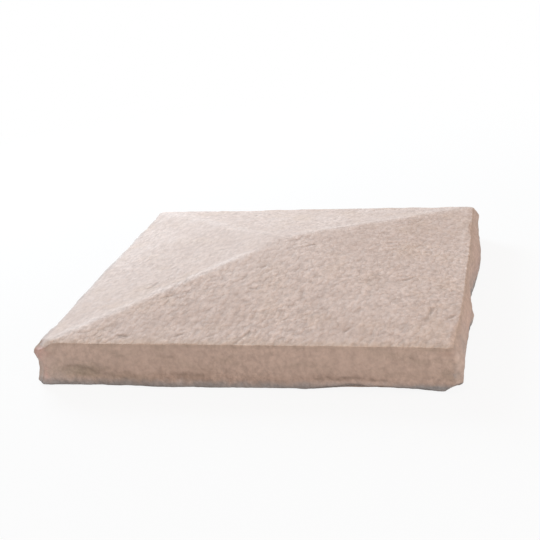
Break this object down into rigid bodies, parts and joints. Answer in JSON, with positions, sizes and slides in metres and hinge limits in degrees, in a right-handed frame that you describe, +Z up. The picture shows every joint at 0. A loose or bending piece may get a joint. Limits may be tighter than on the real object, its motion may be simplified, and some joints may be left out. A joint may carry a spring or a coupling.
{
  "type": "pier cap",
  "caption": "Square pier cap of cast stone with a low hipped top, rock-faced pitched edges and a flat bed; it covers a masonry pier or pillar and sheds rain.",
  "frame": {"origin": "middle of the flat bed face that lies on the pier", "axes": "+Z up, out of the crown; -Y out of the front side; +X out of the right side"},
  "size_m": [0.614, 0.6123, 0.1096],
  "materials": {
    "cast_stone": "matt, fine-grained, pinkish buff, with a slight whitish bloom on the top"
  },
  "bodies": {
    "root": {"pier_cap": "cast_stone"}
  },
  "joints": []
}
